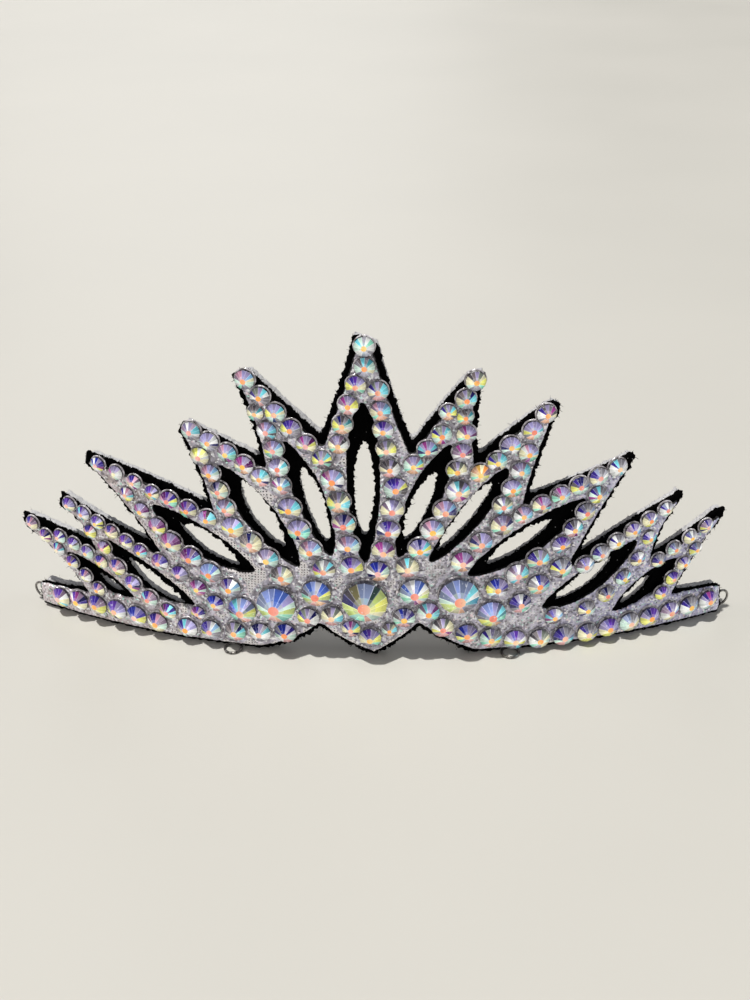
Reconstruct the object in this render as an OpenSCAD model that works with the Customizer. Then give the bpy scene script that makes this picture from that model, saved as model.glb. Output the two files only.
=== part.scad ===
// Hair bun crown: a curved sheet of three cloth layers, cut into eleven pierced peaks and two tails,
// set with flat-backed cut stones and fitted with four wire loops for hairpins.
// Places on the sheet are written as [along, up]: millimetres along the curved face from its middle,
// left negative, and millimetres above the surface that the crown stands on.

/* [Cloth sheet] */
// Radius of the curved front face, seen from above
face_radius = 180; // [160:1:220]
// Thickness of the glitter fabric face
face_thickness = 1; // [0.8:0.1:1.2]
// Thickness of the black felt layer
black_thickness = 1.4; // [1.2:0.1:2]
// Thickness of the white felt backing
backing_thickness = 2; // [1.5:0.1:3]
// Width of the black rim that shows round the face
black_rim = 0.9; // [0.6:0.1:0.9]
// Width of the black rim on the upper edges of the tails
tail_rim = 0.1; // [0.1:0.1:0.6]
// How far the backing reaches past the black layer on the upper edges
backing_rim = 0.3; // [0:0.1:0.3]
// Gap between two layers
layer_gap = 0.05; // [0.02:0.01:0.1]

/* [Stones] */
// Diameter of the centre stone
centre_d = 9.8; // [9:0.1:9.8]
// Diameter of the two large stones beside it
large_d = 8.6; // [8:0.1:8.6]
// Diameter of the four medium stones of the base
medium_d = 6.3; // [5.8:0.1:6.3]
// Diameter of the stones at the base of the peaks
base_d = 4.8; // [4.4:0.1:4.8]
// Diameter of the stones along the peaks
peak_d = 4; // [3.6:0.1:4]
// Diameter of the stones along the tails
tail_d = 4.9; // [4.4:0.1:4.9]
// Diameter of the stones of the outermost peaks
small_d = 3.3; // [3:0.1:3.3]
// Height of a stone as a share of its diameter
stone_height_share = 0.36; // [0.3:0.01:0.42]

/* [Wire loops] */
// Diameter of the loop wire
wire_d = 0.56; // [0.5:0.02:0.6]
// Outer diameter of a loop
loop_d = 4.3; // [4:0.1:4.3]
// How far a foot loop reaches out in front of the face
foot_reach = 2.8; // [2.6:0.1:3]
// How far an end loop reaches out past the end of its tail
end_reach = 2.5; // [2.3:0.1:2.8]

/* [Hidden] */

// Outline of the black layer. Each peak has a row: the valley at its left foot [along, up], the left
// and right corners of its blunt tip, and the bow of its left and right edges, outward positive.
PEAKS = [
    [[-68.7,  7.9], [-84.4, 21.2], [-84.0, 23.9], -1.7,  0.3],
    [[-64.6, 20.6], [-72.3, 29.2], [-71.2, 32.1], -1.5, -0.4],
    [[-48.3, 23.4], [-63.0, 41.8], [-62.2, 43.8], -1.0,  0.9],
    [[-34.3, 35.3], [-39.4, 52.6], [-37.8, 54.6], -0.6,  0.1],
    [[-22.1, 47.5], [-26.8, 65.8], [-23.4, 66.8], -0.8,  0.0],
    [[ -9.3, 53.2], [ -2.2, 74.8], [  2.4, 73.0], -0.3, -0.4],
    [[  9.0, 51.6], [ 20.3, 66.3], [ 23.1, 66.8],  0.3, -0.8],
    [[ 22.5, 48.0], [ 37.2, 59.8], [ 38.9, 59.0],  0.7, -0.4],
    [[ 33.2, 38.4], [ 54.9, 45.7], [ 56.4, 44.7],  0.1, -0.5],
    [[ 44.6, 22.8], [ 67.8, 34.5], [ 69.3, 33.4],  0.6, -1.4],
    [[ 62.9, 20.0], [ 78.2, 28.0], [ 80.7, 27.0], -0.2, -1.0],
];
RIGHT_TAIL_VALLEY = [69.4, 9.0];

// The tails and the bottom edge, clockwise. The bottom edge dips to a point at the middle between
// two notches, and stands flat from there out to the tails. A tail's corners above its middle height
// lie on its upper edge.
tail_end = 82.8;
tail_middle = 3;
RIGHT_TAIL = [[73.5, 8.2], [80.9, 7.6], [82.2, 6.4], [tail_end, 1.2], [tail_end - 1, 0]];
LEFT_TAIL = [[-tail_end + 1, 0], [-tail_end, 1.2], [-82.7, 5.2], [-81.6, 6.1], [-74.5, 6.5]];
// Each row: start of an edge of the notches [along, up] and its bow, outward positive
NOTCHES = [
    [[ 22.5, 0.0],  0.5],
    [[ 10.3, 7.6],  0.4],
    [[  0.6, 0.0],  0.6],
    [[-11.3, 7.2],  1.1],
];
NOTCH_END = [-25.5, 0];

// Leaf-shaped openings, each row: upper tip [along, up], lower tip [along, up], bulge of the left and
// of the right side, and where along the leaf it is widest, 0 to 1 from the upper tip
FACE_OPENINGS = [
    [[-71.6, 17.5], [-54.6,  8.6], 3.2, 2.0, 0.5],
    [[-60.5, 23.5], [-39.4,  9.6], 4.3, 1.8, 0.55],
    [[-47.4, 34.5], [-24.8, 20.7], 4.0, 2.7, 0.5],
    [[-31.4, 46.3], [-15.1, 22.5], 3.0, 3.7, 0.5],
    [[-17.2, 52.8], [ -8.1, 25.4], 2.1, 3.7, 0.5],
    [[ -0.8, 61.7], [ -1.1, 23.6], 3.2, 3.2, 0.43],
    [[ 16.9, 52.2], [  5.9, 25.4], 3.4, 2.8, 0.5],
    [[ 28.6, 46.2], [ 12.2, 24.0], 2.1, 2.8, 0.45],
    [[ 45.7, 37.1], [ 20.4, 20.6], 2.9, 3.8, 0.5],
    [[ 58.5, 25.2], [ 37.1, 10.8], 2.0, 4.1, 0.55],
    [[ 68.7, 18.3], [ 53.6,  6.6], 2.7, 2.9, 0.5],
];
FELT_OPENINGS = [
    [[-64.8, 13.6], [-57.2,  9.2], 2.0, 1.0, 0.5],
    [[-56.3, 19.4], [-41.7,  8.9], 3.0, 1.4, 0.5],
    [[-42.3, 30.6], [-28.3, 20.6], 2.3, 2.9, 0.5],
    [[-26.9, 43.0], [-18.0, 25.9], 3.0, 2.4, 0.5],
    [[-14.0, 47.4], [ -8.9, 27.2], 1.8, 2.6, 0.5],
    [[ -0.7, 53.4], [ -1.1, 28.8], 2.4, 2.3, 0.45],
    [[ 14.2, 46.2], [  7.0, 28.2], 2.4, 1.9, 0.5],
    [[ 26.0, 43.2], [ 13.6, 25.2], 2.0, 1.8, 0.45],
    [[ 39.4, 32.8], [ 24.2, 21.8], 2.6, 1.7, 0.5],
    [[ 53.4, 21.8], [ 39.4, 11.4], 1.4, 2.6, 0.5],
    [[ 63.4, 14.8], [ 56.0,  7.6], 1.9, 1.2, 0.5],
];
opening_roundness = 0.8;
opening_steps = 9;
edge_steps = 5;
sharpest_corner = 0.12;

// Stones set along curved rows, each row: first centre [along, up], last centre [along, up], bow,
// number of stones, and the first and last diameters
LEFT_ROWS = [
    [[-80.0, 23.4], [-63.7,  9.8],  0.4, 6, small_d, small_d],
    [[-72.4, 21.7], [-61.8, 17.6],  0.4, 4, small_d, small_d],
    [[-68.2, 31.0], [-51.2, 22.5],  0.3, 6, small_d, small_d],
    [[-46.6, 20.7], [-34.5, 11.9],  0.8, 4, peak_d, peak_d],
    [[-63.5, 25.1], [-60.4, 21.6],  0.0, 2, small_d, small_d],
    [[-57.6, 17.2], [-46.1,  7.8], -0.8, 4, peak_d, peak_d],
    [[-58.9, 42.7], [-46.5, 37.9],  0.4, 4, small_d, small_d],
    [[-42.7, 36.8], [-34.3, 33.3],  0.0, 3, peak_d, peak_d],
    [[-52.6, 36.6], [-46.2, 29.8], -0.1, 3, small_d, peak_d],
    [[-43.3, 26.3], [-30.6, 16.5],  0.1, 4, base_d, base_d],
    [[-36.0, 53.7], [-22.0, 44.3],  0.5, 5, peak_d, peak_d],
    [[-34.6, 48.1], [-30.0, 36.4],  0.5, 4, peak_d, peak_d],
    [[-28.8, 31.9], [-18.8, 20.8],  0.6, 4, base_d, base_d],
    [[-23.8, 65.9], [ -9.1, 49.1], -0.2, 6, peak_d, peak_d],
    [[-22.1, 58.8], [-22.1, 58.8],  0.0, 1, small_d, small_d],
    [[-20.0, 55.0], [-17.8, 42.7],  0.5, 4, peak_d, peak_d],
    [[-16.3, 37.5], [ -9.7, 23.0], -0.6, 4, base_d, base_d],
    [[ -0.1, 73.5], [ -0.1, 69.3],  0.0, 2, peak_d, peak_d],
    [[ -1.9, 65.4], [ -5.7, 52.6], -0.4, 4, peak_d, peak_d],
    [[ -7.1, 44.6], [ -3.8, 23.8],  0.3, 5, base_d, base_d],
    [[-74.8,  4.8], [-49.0,  4.3],  1.0, 6, tail_d, tail_d],
    [[-41.7,  4.2], [-18.9,  5.9],  0.0, 5, base_d, base_d],
    [[-38.8,  8.6], [-38.8,  8.6],  0.0, 1, small_d, small_d],
    [[-13.6, 10.4], [ -8.4, 11.1],  0.0, 2, base_d, base_d],
    [[ -4.4,  7.9], [ -0.3,  5.6],  0.0, 2, peak_d, base_d],
];
RIGHT_ROWS = [
    [[  3.9,  7.7], [  3.9,  7.7],  0.0, 1, small_d, small_d],
    [[  7.1, 11.0], [ 12.3, 12.3],  0.0, 2, base_d, base_d],
    [[ 15.4,  8.2], [ 42.3,  3.3], -1.6, 6, base_d, base_d],
    [[ 47.8,  3.3], [ 77.4,  5.5],  0.3, 7, tail_d - 0.2, tail_d - 0.2],
    [[  2.4, 64.3], [  4.5, 47.3], -0.2, 5, peak_d, peak_d],
    [[  5.6, 42.8], [  1.7, 22.9],  0.3, 5, base_d, base_d],
    [[ 21.3, 65.9], [ 19.5, 62.1],  0.0, 2, peak_d, peak_d],
    [[ 19.4, 58.3], [ 16.0, 59.4],  0.0, 2, small_d, small_d],
    [[ 14.8, 54.6], [  9.2, 48.0],  0.0, 3, peak_d, peak_d],
    [[ 19.7, 54.5], [ 17.9, 46.5],  0.1, 3, peak_d, peak_d],
    [[ 18.2, 41.8], [  7.9, 23.8],  0.0, 5, base_d, base_d],
    [[ 35.6, 57.9], [ 33.0, 54.5],  0.0, 2, peak_d, peak_d],
    [[ 28.6, 51.4], [ 22.6, 45.6],  0.6, 3, peak_d, peak_d],
    [[ 32.3, 49.5], [ 27.5, 37.8],  0.2, 4, peak_d, peak_d],
    [[ 27.5, 33.2], [ 19.4, 24.8], -0.4, 3, base_d, base_d],
    [[ 51.6, 44.0], [ 31.8, 35.2], -0.4, 6, peak_d, peak_d],
    [[ 47.6, 38.2], [ 40.4, 27.0],  0.1, 4, peak_d, peak_d],
    [[ 35.5, 24.0], [ 26.9, 17.7],  0.0, 3, base_d, base_d],
    [[ 63.8, 32.0], [ 46.1, 21.1], -0.5, 6, small_d, peak_d],
    [[ 40.6, 21.2], [ 32.1, 13.3], -0.6, 3, base_d, base_d],
    [[ 60.5, 25.5], [ 47.2,  9.6],  1.8, 5, small_d, peak_d],
    [[ 39.8,  8.8], [ 39.8,  8.8],  0.0, 1, peak_d, peak_d],
    [[ 74.5, 25.5], [ 63.4, 19.2], -0.2, 4, small_d, small_d],
    [[ 72.4, 20.2], [ 65.1, 10.3], -0.2, 4, small_d, small_d],
];

// Centres of the main stones
CENTRE_STONE = [-1.2, 15.5];
LARGE_STONE_LEFT = [-20.4, 13.6];
LARGE_STONE_RIGHT = [18.7, 16.5];
MEDIUM_STONE_LEFT_OUTER = [-28.2, 11.2];
MEDIUM_STONE_LEFT_INNER = [-11.6, 17.0];
MEDIUM_STONE_RIGHT_INNER = [9.3, 17.7];
MEDIUM_STONE_RIGHT_OUTER = [25.9, 11.2];

// A cut stone: height of its girdle, width of its table, and the height and width where its facets
// break, as shares of its diameter
girdle_share = 0.08;
table_share = 0.4;
break_height_share = 0.24;
break_width_share = 0.78;
stone_gap = 0.04;
small_stone_sides = 8;
main_stone_sides = 12;

// Places of the wire loops along the face, the height of the end loops, how far the foot loops stay
// above the surface, and the clearance round the wire in its slots and channels
left_foot_along = -31.2;
right_foot_along = 30.4;
end_loop_height = 3.1;
foot_lift = 0.02;
wire_play = 0.1;

// The sheet's layers from front to back: outer radius of each
black_radius = face_radius - face_thickness - layer_gap;
backing_radius = black_radius - black_thickness - layer_gap;
back_radius = backing_radius - backing_thickness;
sheet_height = 90;
smooth = 180;
wire_smooth = 24;

// Moves the front of the face, so that the origin is under the middle of the crown's box
depth_shift = -10.12;
// How far a cutting shape runs past what it cuts
overshoot = 1;

function degrees_at(along) = along / face_radius * 180 / PI;
function left_normal(v) = [-v[1], v[0]] / norm(v);
function bowed_point(a, b, bow, t) = a + (b - a) * t + left_normal(b - a) * bow * 4 * t * (1 - t);
function bowed_edge(a, b, bow) =
    [for (i = [0 : edge_steps - 1]) bowed_point(a, b, bow, i / edge_steps)];

// The two edges and the blunt tip of one peak, up to the next valley
function peak_outline(row, next_valley) = concat(
    bowed_edge(row[0], row[1], row[3]),
    [row[1]],
    bowed_edge(row[2], next_valley, row[4])
);
function peaks_outline() = [
    for (i = [0 : len(PEAKS) - 1])
        each peak_outline(PEAKS[i], i + 1 < len(PEAKS) ? PEAKS[i + 1][0] : RIGHT_TAIL_VALLEY)
];
function notches_outline() = [
    for (i = [0 : len(NOTCHES) - 1])
        each bowed_edge(NOTCHES[i][0], i + 1 < len(NOTCHES) ? NOTCHES[i + 1][0] : NOTCH_END,
                        NOTCHES[i][1])
];
// The outline of the sheet, with the upper edges of its tails moved up by a distance
function with_upper_edge(tail, lift) = [for (p = tail) p[1] > tail_middle ? p + [0, lift] : p];
function sheet_outline(tail_lift = 0) = concat(
    with_upper_edge(LEFT_TAIL, tail_lift), peaks_outline(), [RIGHT_TAIL_VALLEY],
    with_upper_edge(RIGHT_TAIL, tail_lift), notches_outline(), [NOTCH_END]
);

// An outline moved outward by a distance, with mitred corners, kept above the surface
function grow(points, distance) = [
    for (i = [0 : len(points) - 1])
        let (
            before = points[(i + len(points) - 1) % len(points)],
            here = points[i],
            after = points[(i + 1) % len(points)],
            n1 = left_normal(here - before),
            n2 = left_normal(after - here),
            moved = here + (n1 + n2) * distance / max(1 + n1 * n2, sharpest_corner)
        )
        [moved[0], max(moved[1], 0)]
];

// One leaf-shaped opening: down its right side, then back up its left side
function leaf_half_width(t, widest) =
    let (u = pow(t, ln(0.5) / ln(widest))) pow(4 * u * (1 - u), opening_roundness);
function leaf_point(row, t, bulge) =
    row[0] + (row[1] - row[0]) * t
    + left_normal(row[1] - row[0]) * bulge * leaf_half_width(t, row[4]);
function leaf_outline(row) = concat(
    [for (i = [0 : opening_steps]) leaf_point(row, i / opening_steps, row[3])],
    [for (i = [opening_steps - 1 : -1 : 1]) leaf_point(row, i / opening_steps, -row[2])]
);

// Points of the sheet as seen from the front, for a layer of a given middle radius
function front_view(points, radius) = [for (p = points) [radius * sin(degrees_at(p[0])), p[1]]];

// A curved layer between two radii, cut through to an outline with openings
module cloth_layer(outer_radius, thickness, outline, openings) {
    middle_radius = outer_radius - thickness / 2;
    translate([0, face_radius, 0])
        intersection() {
            difference() {
                cylinder(h = sheet_height, r = outer_radius, $fn = smooth);
                translate([0, 0, -overshoot])
                    cylinder(h = sheet_height + 2 * overshoot, r = outer_radius - thickness,
                             $fn = smooth);
            }
            rotate([90, 0, 0])
                linear_extrude(height = face_radius + overshoot)
                    difference() {
                        polygon(front_view(outline, middle_radius));
                        for (row = openings)
                            polygon(front_view(leaf_outline(row), middle_radius));
                    }
        }
}

// Places its children on the sheet: their z axis points out of the face at the given radius
module on_sheet(place, radius) {
    translate([0, face_radius, 0])
        rotate([0, 0, degrees_at(place[0])])
            translate([0, -radius, place[1]])
                rotate([90, 0, 0])
                    children();
}

module at_origin() {
    translate([0, depth_shift, 0])
        children();
}

// A flat-backed stone with a table, a ring of facets or two, and a thin girdle
module small_stone(diameter) {
    rotate_extrude($fn = small_stone_sides)
        polygon([
            [0, 0],
            [diameter / 2, 0],
            [diameter / 2, diameter * girdle_share],
            [diameter * table_share / 2, diameter * stone_height_share],
            [0, diameter * stone_height_share],
        ]);
}

module main_stone(diameter) {
    rotate_extrude($fn = main_stone_sides)
        polygon([
            [0, 0],
            [diameter / 2, 0],
            [diameter / 2, diameter * girdle_share],
            [diameter * break_width_share / 2, diameter * break_height_share],
            [diameter * table_share / 2, diameter * stone_height_share],
            [0, diameter * stone_height_share],
        ]);
}

module placed_main_stone(place, diameter) {
    color([0.72, 0.75, 0.86])
        at_origin()
            on_sheet(place, face_radius + stone_gap)
                main_stone(diameter);
}

module stone_rows(rows) {
    for (row = rows)
        for (i = [0 : row[3] - 1])
            let (t = row[3] > 1 ? i / (row[3] - 1) : 0)
                on_sheet(row[3] > 1 ? bowed_point(row[0], row[1], row[2], t) : row[0],
                         face_radius + stone_gap)
                    small_stone(row[4] + (row[5] - row[4]) * t);
}

// A closed ring of wire, lying in the plane of its own x and y axes
module wire_ring(thickness) {
    rotate_extrude($fn = smooth)
        translate([(loop_d - wire_d) / 2, 0])
            circle(d = thickness, $fn = wire_smooth);
}

// The end loops stand in the plane of the black layer and pass through it
module placed_end_loop(side, thickness) {
    on_sheet([side * (tail_end + end_reach - loop_d / 2), end_loop_height],
             black_radius - black_thickness / 2)
        wire_ring(thickness);
}

// The foot loops lie flat just above the surface, under the front of the bottom edge
module placed_foot_loop(along) {
    on_sheet([along, wire_d / 2 + foot_lift], face_radius + foot_reach - loop_d / 2)
        rotate([90, 0, 0])
            wire_ring(wire_d);
}

// A slot through the bottom edge that clears a foot loop
module foot_slot(along) {
    slot_width = loop_d + 2 * wire_play;
    slot_depth = loop_d - foot_reach + wire_play;
    on_sheet([along, 0], face_radius - slot_depth)
        translate([-slot_width / 2, -overshoot, 0])
            cube([slot_width, overshoot + wire_d + wire_play, slot_depth + overshoot]);
}

module face() {
    color([0.78, 0.77, 0.8])
        at_origin()
            difference() {
                cloth_layer(face_radius, face_thickness,
                            grow(sheet_outline(black_rim - tail_rim), -black_rim), FACE_OPENINGS);
                foot_slot(left_foot_along);
                foot_slot(right_foot_along);
            }
}

module black_felt() {
    color([0.04, 0.04, 0.045])
        at_origin()
            difference() {
                cloth_layer(black_radius, black_thickness, sheet_outline(), FELT_OPENINGS);
                foot_slot(left_foot_along);
                foot_slot(right_foot_along);
                for (side = [-1, 1])
                    placed_end_loop(side, wire_d + 2 * wire_play);
            }
}

module backing_felt() {
    color([0.93, 0.93, 0.92])
        at_origin()
            cloth_layer(backing_radius, backing_thickness, grow(sheet_outline(), backing_rim),
                        FELT_OPENINGS);
}

module centre_stone() { placed_main_stone(CENTRE_STONE, centre_d); }
module large_stone_left() { placed_main_stone(LARGE_STONE_LEFT, large_d); }
module large_stone_right() { placed_main_stone(LARGE_STONE_RIGHT, large_d); }
module medium_stone_left_outer() { placed_main_stone(MEDIUM_STONE_LEFT_OUTER, medium_d); }
module medium_stone_left_inner() { placed_main_stone(MEDIUM_STONE_LEFT_INNER, medium_d); }
module medium_stone_right_inner() { placed_main_stone(MEDIUM_STONE_RIGHT_INNER, medium_d); }
module medium_stone_right_outer() { placed_main_stone(MEDIUM_STONE_RIGHT_OUTER, medium_d); }

module stones_left() {
    color([0.75, 0.72, 0.88])
        at_origin()
            stone_rows(LEFT_ROWS);
}

module stones_right() {
    color([0.72, 0.8, 0.88])
        at_origin()
            stone_rows(RIGHT_ROWS);
}

module loop_left_end() { color("silver") at_origin() placed_end_loop(-1, wire_d); }
module loop_right_end() { color("silver") at_origin() placed_end_loop(1, wire_d); }
module loop_left_foot() { color("silver") at_origin() placed_foot_loop(left_foot_along); }
module loop_right_foot() { color("silver") at_origin() placed_foot_loop(right_foot_along); }

face();
black_felt();
backing_felt();
centre_stone();
large_stone_left();
large_stone_right();
medium_stone_left_outer();
medium_stone_left_inner();
medium_stone_right_inner();
medium_stone_right_outer();
stones_left();
stones_right();
loop_left_end();
loop_right_end();
loop_left_foot();
loop_right_foot();
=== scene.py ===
"""Looks of the hair bun crown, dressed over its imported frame.

The crown is a curved sheet of glitter cloth on black and white felt, set with coated cut stones and
fitted with wire loops. Each sub-assembly is a class that models its pieces in the frame and dresses
them with its finish. Lengths are metres, as the frame's, and MM turns millimetres into them. A
class whose fields hold millimetres says so.
"""

from __future__ import annotations

import logging
import math
import random
from dataclasses import dataclass
from enum import Enum
from typing import Callable, Mapping, Optional, Sequence, Union

import bmesh
import bpy
import numpy as np
from mathutils import Matrix, Vector, kdtree, noise


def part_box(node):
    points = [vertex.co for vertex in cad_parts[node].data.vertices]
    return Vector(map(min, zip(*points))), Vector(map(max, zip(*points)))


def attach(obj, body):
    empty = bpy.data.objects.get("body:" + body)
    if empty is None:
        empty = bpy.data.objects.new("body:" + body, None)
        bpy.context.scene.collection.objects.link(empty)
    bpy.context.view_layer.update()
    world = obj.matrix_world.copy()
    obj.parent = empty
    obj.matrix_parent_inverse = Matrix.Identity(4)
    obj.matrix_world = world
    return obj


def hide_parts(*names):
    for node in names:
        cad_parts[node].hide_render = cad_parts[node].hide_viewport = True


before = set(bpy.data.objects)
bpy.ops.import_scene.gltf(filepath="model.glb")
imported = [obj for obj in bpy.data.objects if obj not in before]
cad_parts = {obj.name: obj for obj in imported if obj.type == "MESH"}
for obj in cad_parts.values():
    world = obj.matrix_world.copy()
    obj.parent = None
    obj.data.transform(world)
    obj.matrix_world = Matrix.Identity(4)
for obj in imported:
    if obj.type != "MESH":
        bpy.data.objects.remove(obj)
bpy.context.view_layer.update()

LOG = logging.getLogger("crown")
MM = 0.001
FACE_RADIUS = 180 * MM
AXIS_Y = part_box("face")[0].y + FACE_RADIUS
FACET_TINT = "facet_tint"
GLUE_REACH = "glue_reach"
EDGE_SHARE = "edge_share"
FULL_TURN = 2 * math.pi
Colour = tuple[float, float, float]
Span = tuple[float, float]
Point = tuple[float, float, float]
Piece = bpy.types.Object


class Tint(Enum):
    """Colours that the coated stones throw, as display values; facets wear them as painted
    reflections.
    """

    LAVENDER = (0.64, 0.61, 0.82)
    HEATHER = (0.60, 0.56, 0.72)
    MAUVE = (0.55, 0.46, 0.56)
    TAUPE = (0.47, 0.43, 0.44)
    SAGE = (0.52, 0.55, 0.50)
    SKY = (0.55, 0.74, 0.90)
    PERIWINKLE = (0.53, 0.60, 0.84)
    BLUE = (0.30, 0.42, 0.78)
    ROYAL = (0.13, 0.18, 0.64)
    INDIGO = (0.22, 0.16, 0.56)
    VIOLET = (0.37, 0.22, 0.66)
    NAVY = (0.10, 0.10, 0.36)
    PLUM = (0.38, 0.11, 0.40)
    MAGENTA = (0.62, 0.25, 0.56)
    ROSE = (0.80, 0.58, 0.68)
    SLATE = (0.46, 0.51, 0.64)
    SILVER = (0.72, 0.72, 0.76)
    GREY = (0.55, 0.54, 0.57)
    SMOKE = (0.34, 0.32, 0.34)
    FOREST = (0.20, 0.29, 0.27)
    OLIVE = (0.42, 0.40, 0.28)
    PEARL = (0.95, 0.96, 0.95)
    CYAN = (0.47, 0.86, 0.92)
    TEAL = (0.30, 0.63, 0.68)
    MINT = (0.62, 0.94, 0.82)
    PALE_MINT = (0.82, 0.94, 0.88)
    LIME = (0.82, 0.90, 0.52)
    LEMON = (0.95, 0.95, 0.46)
    CREAM = (0.95, 0.93, 0.76)
    PEACH = (0.97, 0.76, 0.62)
    ORANGE = (1.00, 0.63, 0.32)
    AMBER = (1.00, 0.77, 0.36)
    CORAL = (0.93, 0.53, 0.44)
    BLUSH = (0.95, 0.72, 0.70)


def named(kind: type[Enum], names: str) -> tuple:
    """The members of an Enum that a line of names lists."""
    return tuple(kind[name] for name in names.split())


class Fan(Enum):
    """Painted reflections of a stone's upper facets together, from its left over the top to its
    right.
    """

    SAGE = named(Tint, "INDIGO SAGE HEATHER GREY CYAN")
    VIOLET = named(Tint, "HEATHER INDIGO VIOLET HEATHER LAVENDER")
    MAUVE = named(Tint, "MAUVE HEATHER HEATHER MAUVE CYAN")
    PEARL = named(Tint, "INDIGO HEATHER PEARL HEATHER CYAN")
    SMOKE = named(Tint, "SMOKE TAUPE HEATHER SAGE CREAM")
    DUSK = named(Tint, "MAUVE INDIGO HEATHER PEARL SKY")
    MAGENTA = named(Tint, "MAUVE MAGENTA HEATHER HEATHER PLUM")
    SKY = named(Tint, "ROSE PERIWINKLE SKY HEATHER BLUE")
    ROYAL = named(Tint, "GREY ROYAL ROYAL HEATHER INDIGO")
    PLUM = named(Tint, "ROSE PLUM VIOLET MAUVE INDIGO")
    NIGHT = named(Tint, "INDIGO NAVY GREY GREY SLATE")
    STEEL = named(Tint, "INDIGO SLATE GREY SILVER PEARL")
    FROST = named(Tint, "PEARL PALE_MINT SILVER PEARL MINT")
    FLARE = named(Tint, "CREAM LEMON PEARL LEMON CREAM")
    EMBER = named(Tint, "PEACH AMBER CREAM ORANGE MAUVE")
    DUST = named(Tint, "GREY TAUPE SMOKE GREY TEAL")
    WINE = named(Tint, "ROSE MAUVE INDIGO ROSE MAUVE")
    LILAC = named(Tint, "HEATHER LAVENDER HEATHER LAVENDER CYAN")
    DAWN = named(Tint, "MAUVE ROSE LAVENDER HEATHER SKY")


class Kind(Enum):
    """Kinds of face on a cut stone."""

    FOOT = 0
    GIRDLE = 1
    EDGE = 2
    WEDGE = 3
    TABLE = 4


class Part(Enum):
    """Parts of a mesh that can be picked in edit mode."""

    VERTS = "verts"
    EDGES = "edges"
    FACES = "faces"


class Row(Enum):
    """What can be read of each vertex of a mesh."""

    PLACE = "co"
    NORMAL = "normal"


class Lamp(Enum):
    """Kinds of light in the studio."""

    SUN = "SUN"
    PANEL = "AREA"


def linear(shown: Sequence[float]) -> Colour:
    """A display colour as the linear values that shaders take."""
    return tuple(c / 12.92 if c <= 0.04045 else ((c + 0.055) / 1.055) ** 2.4 for c in shown)


def blend(first: Sequence[float], second: Sequence[float], share: float) -> Colour:
    """The colour that lies the given share of the way from the first to the second."""
    return tuple(a + (b - a) * share for a, b in zip(first, second))


class Sheet:
    """The curved sheet's own coordinates: the angle round its axis, the height and the radius."""

    @staticmethod
    def angle(point: Sequence[float]) -> float:
        """Angle of a point round the axis, zero at the middle of the face."""
        return math.atan2(point[0], AXIS_Y - point[1])

    @staticmethod
    def angles(places: np.ndarray) -> np.ndarray:
        """Angle of each of some places round the axis."""
        return np.arctan2(places[:, 0], AXIS_Y - places[:, 1])

    @classmethod
    def outward(cls, places: np.ndarray) -> np.ndarray:
        """The direction out of the face at each of some places."""
        angle = cls.angles(places)
        return np.stack([np.sin(angle), -np.cos(angle), np.zeros_like(angle)], axis=1)

    @staticmethod
    def turned(angle: float, up: float, radius: float) -> Matrix:
        """A matrix that sets a piece on the sheet.

        Args:
            angle: Angle round the axis.
            up: Height above the floor.
            radius: Distance of the piece's origin from the axis.

        Returns:
            The matrix that turns z out of the face, y up and x along it.
        """
        outward = Vector((math.sin(angle), -math.cos(angle), 0))
        along = Vector((math.cos(angle), math.sin(angle), 0))
        turn = Matrix((along, Vector((0, 0, 1)), outward)).transposed().to_4x4()
        return Matrix.Translation(outward * radius + Vector((0, AXIS_Y, up))) @ turn


def select(piece: Optional[Piece] = None) -> None:
    """Leaves edit mode and deselects everything but a piece, which becomes active.

    Args:
        piece: The piece, or None to deselect everything.
    """
    if bpy.context.object and bpy.context.object.mode != "OBJECT":
        bpy.ops.object.mode_set(mode="OBJECT")
    bpy.ops.object.select_all(action="DESELECT")
    if piece:
        piece.select_set(True)
        bpy.context.view_layer.objects.active = piece


def put(name: str, data: bpy.types.ID) -> Piece:
    """Puts a new object in the scene.

    Args:
        name: Its name.
        data: Its mesh, lamp or camera.

    Returns:
        The object, at the origin.
    """
    piece = bpy.data.objects.new(name, data)
    bpy.context.scene.collection.objects.link(piece)
    return piece


def edit(name: str) -> Piece:
    """Sets the place of the primitive that was just added in its mesh and opens it for editing.

    Args:
        name: The primitive's new name.

    Returns:
        The primitive, in edit mode.
    """
    piece = bpy.context.object
    piece.name = name
    bpy.ops.object.transform_apply(location=True, rotation=True, scale=True)
    bpy.ops.object.mode_set(mode="EDIT")
    return piece


def pick(piece: Piece, part: Part, test: Callable[[object], bool]) -> None:
    """Selects the parts of a piece in edit mode that pass a test, and nothing else.

    Args:
        piece: The piece.
        part: Which of its parts are tested.
        test: Whether a part is selected.
    """
    mesh = bmesh.from_edit_mesh(piece.data)
    for element in (*mesh.faces, *mesh.edges, *mesh.verts):
        element.select = False
    for element in [e for e in getattr(mesh, part.value) if test(e)]:
        element.select_set(True)
    bmesh.update_edit_mesh(piece.data)


def copy_node(node: str, name: str) -> Piece:
    """Copies a CAD node and merges the copy's doubled points.

    Args:
        node: The node's name.
        name: The copy's name.

    Returns:
        The copy, selected and active.
    """
    piece = put(name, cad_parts[node].data.copy())
    select(piece)
    bpy.ops.object.mode_set(mode="EDIT")
    bpy.ops.mesh.select_all(action="SELECT")
    bpy.ops.mesh.remove_doubles(threshold=0.002 * MM)
    bpy.ops.object.mode_set(mode="OBJECT")
    return piece


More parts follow.
